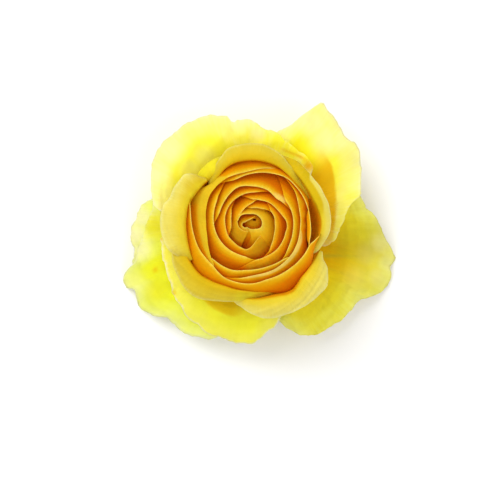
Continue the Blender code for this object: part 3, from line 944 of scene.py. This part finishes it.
# %% The cup's rims
CUPS = {
    "cup_petal_01": dict(
        ring=5, span=(160, 351), tuck=(10, 5), finish="outer cup",
        crest=((160, 23.4), (166, 22.5), (173, 21.8), (182, 21.2), (192, 20.7), (206, 20.4),
               (216, 20.0), (225, 19.9), (234, 20.4), (244, 21.0), (263, 21.0), (275, 20.8),
               (287, 20.3), (309, 20.7), (330, 21.8), (342, 22.3), (347, 23.6), (351, 24.7)),
        crevice=(1.2, curve(((160, 0), (280, 0), (292, 0.4), (305, 0.7), (335, 0.8), (351, 0.8)))),
        cover=curve(((0, -0.5), (20, 1.5), (280, 1.5), (300, 0.2), (330, 0.2), (360, -0.5)))),
    "cup_petal_02": dict(
        ring=5, span=(-20, 112), tuck=(8, 30), finish="outer cup",
        sink=curve(((-28, 3.0), (-20, 0.8), (-12, 0), (112, 0))),
        crest=((-20, 22.1), (-14, 21.8), (-8, 21.7), (7, 21.5), (28, 21.5), (49, 21.5), (70, 20.2),
               (91, 18.7), (112, 17.2)),
        cover=curve(((0, -5.4), (12, -5.2), (28, 1.5), (336, 1.5), (350, -5.2), (360, -5.4)))),
    "cup_petal_03": dict(
        ring=4, span=(216, 322), tuck=(8, 30),
        sink=curve(((208, 3.0), (216, 1.0), (222, 0), (322, 0))),
        crest=((216, 18.7), (225, 18.1), (232, 17.9), (246, 17.4), (265, 16.1), (283, 15.8),
               (301, 16.2), (314, 16.9), (322, 17.8))),
    "cup_petal_04": dict(
        ring=4, span=(-102, 38),
        crest=((-102, 19.0), (-79, 17.8), (-55, 17.8), (-32, 17.9), (-9, 17.8), (15, 18.2),
               (38, 20.0)),
        bright=((24, 19.8, 1.6, 0.8), (12, 20.0, 1.6, 1.0), (0, 20.2, 1.6, 1.0),
                (-10, 20.2, 1.6, 0.8)),
        fringe=curve(((-100, 0.3), (-80, 0.7), (-60, 0.9), (-40, 1.1), (-18, 1.3), (-10, 0.8),
                      (-2, 0), (40, 0)))),
    "cup_petal_05": dict(
        ring=5, span=(60, 226), tuck=(6, 10), finish="rolled",
        bright=((153, 22.6, 2.4, 0.6), (143, 22.9, 2.4, 0.7), (132, 23, 2.0, 0.6)),
        fringe=curve(((60, 0), (112, 0), (124, 2.0), (133, 3.2), (142, 3.2), (152, 3.3), (160, 3.2),
                      (168, 3.0), (180, 2.6), (195, 2.2), (210, 1.4), (226, 0.6))),
        sink=curve(((54, 5.0), (62, 3.5), (74, 1.4), (88, 0), (226, 0))),
        crest=((60, 22.9), (66, 22.4), (75, 21.5), (84, 20.5), (92, 19.7), (100, 19.3), (120, 19.2),
               (141, 18.6), (161, 17.2), (181, 16.2), (190, 16.2), (198, 16.5), (210, 17.5),
               (218, 18.4), (226, 19.2))),
    "cup_petal_06": dict(ring=3, span=(320, 400), crest=(16.0, 15.4, 15.3, 15.5, 15.2)),
    "cup_petal_07": dict(
        ring=3, span=(38, 164),
        pale=((52, 14.0, 0.8, 1.0), (47, 14.2, 1.0, 1.0), (42, 14.5, 1.1, 1.0),
              (38, 14.8, 1.0, 1.0)),
        crevice=(0.6, curve(((38, 0.9), (60, 0.9), (80, 0.7), (100, 0.6), (120, 0.3), (150, 0),
                             (164, 0)))),
        crest=((38, 13.6), (48, 13.5), (67, 14.2), (87, 14.2), (106, 14.7), (125, 13.7),
               (145, 12.7), (164, 12.1))),
    "cup_petal_08": dict(
        ring=3, span=(138, 268),
        crevice=(1.2, curve(((138, 0), (190, 0), (210, 0.5), (235, 0.5), (255, 0.2), (268, 0)))),
        crest=(15.6, 14.2, 13.2, 12.4, 11.7, 11.3, 11.4)),
}
print(len(CUPS), "cup petals have rims")

# %% [markdown]
# The heart's rims are tighter, and the second one winds inwards like a spring. Here too bright
# is painted light and crevice is painted shade.

# %% The heart's rims
HEARTS = {
    "heart_petal_01": dict(
        ring=2, span=(272, 452),
        bright=((270, 14.8, 2, 0.8), (282, 14.8, 2, 0.8), (294, 14.8, 2, 0.8), (306, 14.8, 2, 0.6)),
        crevice=(0.4, curve(((272, 0), (390, 0), (405, 0.4), (425, 0.9), (452, 1)))),
        crest=((272, 12.4), (294, 12.4), (317, 12.6), (336, 12.7), (348, 12.7), (357, 13.0),
               (365, 12.9), (378, 11.9), (394, 11.0), (410, 10.6), (430, 9.8), (452, 9.4))),
    "heart_petal_02": dict(
        ring=2, span=(76, 348), tuck=(34, 2),
        crevice=(0.2, curve(((76, 1), (110, 0.9), (130, 0.5), (150, 0), (348, 0)))),
        bright=((270, 9.6, 2.2, 0.7), (284, 9.0, 2.8, 1.0), (300, 7.5, 3.0, 1.0),
                (320, 7.5, 2.5, 1.0)),
        sink=curve(((76, 0), (282, 0), (292, 0.3), (304, 1.0), (316, 1.8), (332, 2.8), (350, 3.8))),
        crest=((76, 12.3), (97, 11.8), (118, 11.2), (140, 10.6), (161, 9.9), (182, 9.2), (204, 9.0),
               (225, 8.6), (246, 8.6), (258, 8.8), (266, 8.1), (278, 6.8), (289, 5.7), (300, 5.15),
               (314, 4.95), (330, 5.3), (340, 5.7), (348, 6.2))),
    "heart_petal_03": dict(
        ring=1, span=(306, 402), crest=(11.0, 9.6, 8.8, 8.7, 9.0, 8.7),
        crevice=(0.5, curve(((306, 0), (326, 0.4), (342, 0.9), (375, 0.9), (395, 0.6),
                             (402, 0.4))))),
    "heart_petal_04": dict(ring=1, span=(140, 190), crest=(9.0, 7.8, 7.2, 7.1)),
    "heart_petal_05": dict(ring=1, span=(46, 94), crest=(7.8, 7.1, 6.6, 6.2)),
    "heart_petal_06": dict(
        ring=0.4, span=(80, 245), tuck=(20, 2),
        bright=((238, 4.0, 2.0, 1.0), (225, 5.5, 2.5, 1.0), (204, 6.0, 2.2, 1.0),
                (185, 6.0, 1.8, 0.8)),
        crest=((80, 9.0), (90, 7.9), (100, 7.2), (116, 6.3), (134, 5.6), (156, 5.4), (167, 5.0),
               (184, 4.4), (200, 3.7), (220, 2.9), (236, 2.3), (245, 2.2))),
}
for rims, tuck in ((LIPS, 0), (CUPS, 34), (HEARTS, 34)):
    for shape in rims.values():
        shape["crest"] = spread(shape["span"], shape["crest"])
        shape.setdefault("tuck", (tuck, tuck))
print(len(HEARTS), "heart petals have rims")

# %% [markdown]
# ## Shoulders
# A half-closed petal bulges outwards below its rim. To leave no hole, each petal's shoulder
# reaches a little past the rim of the next petal outside it, and stays a little inside that
# petal's own shoulder. So the flower is cut by spokes, every few degrees. At each spoke the
# rims are taken from the outermost in, and each shoulder is found from the ones outside it.
# Then each petal's shoulders are smoothed along its span. Only the shoulders are spaced in
# this way. Nothing keeps the rest of the sheets apart, and many of them cross each other by a
# millimetre or two. Some of these crossings can be seen, from above too.

# %% Shoulders from the rims
SPOKE = 3
SPOKES = np.arange(0, 360, SPOKE)
COVER = curve(((0, 1.5), (360, 1.5)))
SPACING = 0.45
LIP_BULGE = 0.6
SMOOTHING = (0.08, 0.14, 0.18, 0.2, 0.18, 0.14, 0.08)


def rim_round(shape, tuck):
    """The rim's radius at every spoke, nan where there is no rim."""
    low, high = shape["span"][0] - tuck[0], shape["span"][1] + tuck[1]
    angles = low + (SPOKES - low) % 360
    return np.where(angles <= high, shape["crest"](angles), np.nan)


def shoulders_at(angle, shapes, whole, seen):
    """Each petal's shoulder at one spoke. whole and seen are the rims there, with and without
    their tucked ends."""
    found = np.full(len(shapes), np.nan)
    limit = np.inf
    for i in np.argsort(-whole)[: np.count_nonzero(~np.isnan(whole))]:
        rim, shape = whole[i], shapes[i]
        if "lip" in shape:
            found[i] = rim + LIP_BULGE - 0.5 * shape.get("lean", 0.4)
        else:
            outside = seen[seen > rim + 0.15]
            following = outside.min() if len(outside) else rim + 4
            reach = following + shape.get("cover", COVER)(angle)
            found[i] = max(min(reach, limit - SPACING), rim + 0.3)
            if reach < rim:
                found[i] = rim - 1.2
        limit = min(limit, found[i])
    return found


def find_shoulders(shapes):
    """Gives every petal a curve of its shoulder's radius round the flower."""
    seen = np.array([rim_round(shape, (0, 0)) for shape in shapes])
    whole = np.array([rim_round(shape, shape["tuck"]) for shape in shapes])
    found = np.array([shoulders_at(angle, shapes, whole[:, spoke], seen[:, spoke])
                      for spoke, angle in enumerate(SPOKES)]).T
    for shape, row in zip(shapes, found):
        low, high = shape["span"][0] - shape["tuck"][0], shape["span"][1] + shape["tuck"][1]
        angles = np.arange(low, high + 1, float(SPOKE))
        known = ~np.isnan(row)
        values = np.interp(angles % 360, SPOKES[known], row[known], period=360)
        padded = np.pad(values, len(SMOOTHING) // 2, mode="edge")
        smooth = np.convolve(padded, SMOOTHING, mode="valid")
        shape["shoulder"] = curve(list(zip(angles, smooth)))


find_shoulders([*LIPS.values(), *CUPS.values(), *HEARTS.values()])
print("shoulder of the first cup petal at 270 degrees:",
      round(float(CUPS["cup_petal_01"]["shoulder"](270)), 1))

# %% [markdown]
# ## The lips of the cup
# Six broad petals hold the cup. Their walls stand steep, and their rims roll outwards. sides
# says how far the wall dips at each side.

# %% The lip petals
LIP = dict(tall=0.0, drop=0.5, narrow=0.42, lean=0.4, ruffle=0.5, wave=5.0)
LIP_ROWS = 64
for node, shape in LIPS.items():
    left, right = shape.pop("sides", (0.2, 0.2))
    finish = FINISHES[shape.pop("finish")]
    shape["lip"] = spread(shape["span"], shape["lip"])
    shape["dips"] = curve(((0, left), (0.25, 0.25 * left), (0.5, 0), (0.75, 0.25 * right),
                           (1, right)))
    make_petal(node, "petal_outer", finish, lip_point, LIP_ROWS, **{**LIP, **shape})
print("six lip petals")

# %% [markdown]
# ## The cup and the heart
# Fourteen petals nest inside the lips in a spiral, each leaning in over the next. fan is how
# far up its own height a petal comes to its full breadth.

# %% The closed petals
FLAT = curve(((0, 0), (360, 0)))
CLOSED = dict(tall=0.0, sink=FLAT, narrow=0.4, fan=0.35, ruffle=0.15, wave=3.5)
for rims, slot, usual in ((CUPS, "petal_cup", "cup"), (HEARTS, "petal_heart", "heart")):
    for node, shape in rims.items():
        finish = FINISHES[shape.pop("finish", usual)]
        make_petal(node, slot, finish, closed_point, **{**CLOSED, **shape})
print("eight cup petals and six heart petals")

# %% [markdown]
# ## The buds
# At the very heart two petals still curl round themselves, each about a point of its own, and
# a last one is folded between them. They are half-closed petals too, moved aside from the
# flower's axis, with shoulders of their own because nothing is nested in them.

# %% The two buds and the core
BUD = {**CLOSED, "tuck": (4, 4), "ruffle": 0.06, "fan": 0.3}
make_petal("heart_petal_07", "petal_heart", FINISHES["bud"], closed_point, **{
    **BUD, "ring": 0, "span": (-150, 178), "aside": (1.46, 1.46), "tall": 0.4,
    "crest": curve(((-150, 3.6), (-125, 3.1), (-90, 2.6), (-45, 2.9), (0, 2.5), (45, 2.3),
                    (90, 2.7), (123, 3.35), (159, 5.66), (178, 6.2))),
    "shoulder": curve(((-150, 8.4), (-125, 9.8), (-111, 10.8), (-90, 9.8), (-75, 11.0),
                       (-60, 12.6), (-45, 12.6), (-30, 11.0), (0, 8.8), (45, 7.8), (90, 7.4),
                       (123, 7.2), (159, 7.6), (178, 7.6))),
    "sink": curve(((-154, 1.9), (-128, 1.8), (-116, 1.5), (-102, 0.7), (-88, 0), (178, 0))),
    # These deep patches are painted shade.
    "deep": ((257, 8.2, 2.4, 1.0), (259, 6.2, 1.6, 0.7)),
})
make_petal("heart_petal_08", "petal_heart", FINISHES["heart"], closed_point, **{
    **BUD, "ring": -0.5, "span": (38, 302), "aside": (-2.4, 0.4), "tall": 0.2, "fan": 0.9,
    "crest": curve(((38, 4.6), (42, 2.9), (55, 1.7), (73, 0.9), (110, 0.8), (180, 0.8),
                    (225, 0.8), (270, 1.0), (302, 1.6))),
    "shoulder": curve(((38, 6.0), (55, 5.6), (73, 5.0), (110, 4.4), (142, 4.2), (180, 4.4),
                       (225, 5.6), (262, 9.4), (302, 9.4))),
})
make_petal("heart_petal_09", "petal_heart", FINISHES["core"], closed_point, **{
    **BUD, "ring": -0.6, "span": (-176, 176), "aside": (1.24, 2.1), "tall": -0.9,
    "crest": curve(((-176, 0.75), (-120, 0.4), (-90, 0.35), (0, 0.7), (90, 0.45), (176, 0.75))),
    "shoulder": curve(((-176, 5.8), (-90, 5.2), (0, 4.0), (90, 3.4), (176, 5.8))),
})
print("two buds and a core")

# %% [markdown]
# ## Under the bloom
# The hip is the swelling below the petals, waxy and green. The stem is cut off short, with a
# shallow rim round its cut. Both are turned shapes: a profile drawn in edit mode and spun round
# the axis.


# %% The hip and the stem
def turned(name, outline, steps=48):
    """Spins an outline of (radius, height) points, from the foot on the axis to the top."""
    bpy.ops.mesh.primitive_plane_add(size=1)
    made = bpy.context.object
    made.name = name
    bpy.ops.object.mode_set(mode="EDIT")
    bpy.ops.mesh.delete(type="VERT")
    bpy.ops.object.mode_set(mode="OBJECT")
    mesh = made.data
    mesh.from_pydata([((AXIS[0] + r) * MM, AXIS[1] * MM, z * MM) for r, z in outline],
                     [(i, i + 1) for i in range(len(outline) - 1)], [])
    bpy.ops.object.mode_set(mode="EDIT")
    bpy.ops.mesh.select_all(action="SELECT")
    bpy.ops.mesh.spin(steps=steps, angle=2 * math.pi, use_auto_merge=True,
                      center=(AXIS[0] * MM, AXIS[1] * MM, 0), axis=(0, 0, 1))
    bpy.ops.mesh.select_all(action="SELECT")
    bpy.ops.mesh.remove_doubles(threshold=0.00002)
    bpy.ops.mesh.normals_make_consistent(inside=False)
    bpy.ops.object.mode_set(mode="OBJECT")
    bpy.ops.object.shade_smooth()
    return made


HIP_FOOT = 7.3
HIP_RIM = SEAT_PEAK - SEAT_SLOPE * SEAT_RADIUS - 0.48
hip = turned("bloom_hip", (
    (0, HIP_FOOT), (2.7, HIP_FOOT), (3.0, HIP_FOOT + 0.1), (3.7, HIP_FOOT + 0.6),
    (4.5, HIP_FOOT + 1.4), (5.3, HIP_FOOT + 2.5), (6.1, HIP_FOOT + 3.9), (6.9, HIP_FOOT + 5.4),
    (7.5, HIP_RIM - 1.9), (7.7, HIP_RIM - 1.2), (7.6, HIP_RIM - 0.3), (7.2, HIP_RIM + 0.4),
    (4, HIP_RIM + 3.3), (0, HIP_RIM + 6.8),
))
stem = turned("bloom_stem", (
    (0, 0.25), (0.9, 0.22), (1.0, 0.05), (2.2, 0.0), (2.45, 0.08), (2.6, 0.35), (2.56, 2.2),
    (2.62, 4.6), (2.75, 6.2), (2.9, 6.9), (2.8, 7.0), (0, 7.0),
))
print("hip and stem:", len(hip.data.polygons), "and", len(stem.data.polygons), "faces")

# %% [markdown]
# ## Sepals
# Five green leaves that once closed the bud now hang down under the bloom, with their tips on
# the table. A grid is laid on each one's arch: broad in the middle, a long point, a raised
# midrib below and edges with a few small teeth.

# %% The sepals
SEPAL_THICK = 0.7
SEPAL_ARCH = ((SEAT_RADIUS + 0.3, HIP_RIM - 1.0), (14.5, 15.6), (24.0, 12.5), (29.3, 0.7))
SEPAL_WIDTHS = curve(((0, 4.4), (0.2, 6.4), (0.4, 7.6), (0.6, 6.4), (0.8, 3.6), (1, 0.5)))
SEPAL_LOWEST = 0.42


def sepal(number):
    """One sepal, a fifth of a turn on from the one before, each with its own bend and teeth."""
    made, across, along = lay_grid(f"bloom_sepal_{number}", 16, 56)
    side = 2 * across - 1
    radius, height = bezier(SEPAL_ARCH, along)
    teeth = 0.25 * np.sin(along * 40 + number) * ease((along - 0.15) / 0.2) * (1 - along)
    half = SEPAL_WIDTHS(along) / 2 + teeth * np.abs(side)
    bend = 0.5 * np.sin(2.4 * along + number) * ease(along)
    height = height + 0.3 * half * (side * side - 1) * (1 - along) + 0.15
    turn = math.radians(18 + 72 * (number - 1))
    sideways = side * half + bend
    spots = np.stack([
        radius * math.cos(turn) - sideways * math.sin(turn) + AXIS[0],
        radius * math.sin(turn) + sideways * math.cos(turn) + AXIS[1],
        np.maximum(height, SEPAL_LOWEST),
    ], axis=1)
    made.data.vertices.foreach_set("co", (spots * MM).ravel())
    thicken(made, SEPAL_THICK)
    return made


sepals = [sepal(number) for number in range(1, 6)]
print("made", len(sepals), "sepals")

# %% [markdown]
# ## Green finishes
# Sepals, hip and stem are the same green tissue, mottled by soft noise, with a fine grain. They
# differ in hue and in their wax: the hip is the shiniest, and the sepals are the dullest.


# %% Green finishes
def leaf_finish(name, deep, light, rough, bump):
    """A mottled green, between a deep and a light tone."""
    made = bpy.data.materials.new(name)
    made.use_nodes = True
    tree = made.node_tree
    around = add_node(tree, "ShaderNodeTexCoord").outputs["Object"]
    mottle = add_node(tree, "ShaderNodeTexNoise", {"Vector": around, "Scale": 260.0, "Detail": 5.0})
    green = ramp(tree, mottle.outputs["Fac"], ((0.35, deep), (0.68, light)))
    grain = add_node(tree, "ShaderNodeTexNoise", {"Vector": around, "Scale": 1400.0})
    relief = add_node(tree, "ShaderNodeBump", {"Distance": bump, "Height": grain.outputs["Fac"]})
    skin = tree.nodes["Principled BSDF"]
    tree.links.new(green, skin.inputs["Base Color"])
    tree.links.new(relief.outputs[0], skin.inputs["Normal"])
    skin.inputs["Roughness"].default_value = rough
    return made


SEPAL = leaf_finish("sepal green", (0.05, 0.13, 0.015), (0.16, 0.28, 0.05), 0.6, 0.0001)
HIP = leaf_finish("hip green", (0.07, 0.17, 0.02), (0.14, 0.28, 0.04), 0.4, 0.00004)
STEM = leaf_finish("stem green", (0.06, 0.15, 0.02), (0.16, 0.26, 0.05), 0.5, 0.00006)
for number, made in enumerate(sepals, 1):
    dress(made, f"sepal_{number}", SEPAL)
dress(hip, "hip", HIP)
dress(stem, "stem", STEM)
print("five sepals, a hip and a stem have their greens")

# %% [markdown]
# ## The table
# A plain, pale table, far larger than the view, so that its edge is never seen. It lies a hair
# below the lowest petals.

# %% The table
bpy.ops.mesh.primitive_plane_add(size=9, location=(0, 0, -0.0002))
table = bpy.context.object
table.name = "table"
paint = bpy.data.materials.new("pale table")
paint.use_nodes = True
top = paint.node_tree.nodes["Principled BSDF"]
top.inputs["Base Color"].default_value = (0.93, 0.93, 0.93, 1)
top.inputs["Roughness"].default_value = 0.8
table.data.materials.append(paint)
print("the table is", round(table.dimensions.x), "m wide")

# %% [markdown]
# ## Light
# A big soft light high on one side, a weaker one across from it, and a bright room all round.
# Petals are shaded by each other, so most of the light comes from the room.


# %% Light
def softbox(name, place, size, power):
    """A square lamp aimed at the bloom, not seen by the camera itself."""
    lamp = bpy.data.lights.new(name, "AREA")
    lamp.size = size
    lamp.energy = power
    made = bpy.data.objects.new(name, lamp)
    made.location = place
    made.rotation_euler = (-made.location).to_track_quat("-Z", "Y").to_euler()
    made.visible_camera = False
    bpy.context.scene.collection.objects.link(made)


softbox("key light", (-0.8, 0.9, 1.8), 1.4, 26)
softbox("fill light", (0.8, -0.7, 1.9), 1.6, 10)
world = bpy.data.worlds.new("bright room")
world.use_nodes = True
world.node_tree.nodes["Background"].inputs["Color"].default_value = (1, 1, 1, 1)
world.node_tree.nodes["Background"].inputs["Strength"].default_value = 0.8
bpy.context.scene.world = world
bpy.context.scene.view_settings.view_transform = "Standard"
print("two soft lights and a bright room")

# %% [markdown]
# ## Camera
# The camera looks straight down from far away through a long lens, so that near petals aren't
# enlarged. Its length is worked out from the width, in millimetres, that it takes in at a given
# height of the bloom.

# %% Camera
FRAME_WIDTH = 182.5
CAMERA_HEIGHT = 3.0
LOOK_AT = (-3.9, -9.9, 15.0)
lens = bpy.data.cameras.new("camera")
lens.sensor_width = 36
lens.lens = 36 * (CAMERA_HEIGHT - LOOK_AT[2] * MM) / (FRAME_WIDTH * MM)
lens.clip_end = 20
camera = bpy.data.objects.new("camera", lens)
camera.location = (LOOK_AT[0] * MM, LOOK_AT[1] * MM, CAMERA_HEIGHT)
bpy.context.scene.collection.objects.link(camera)
bpy.context.scene.camera = camera
print("lens in mm:", round(lens.lens))
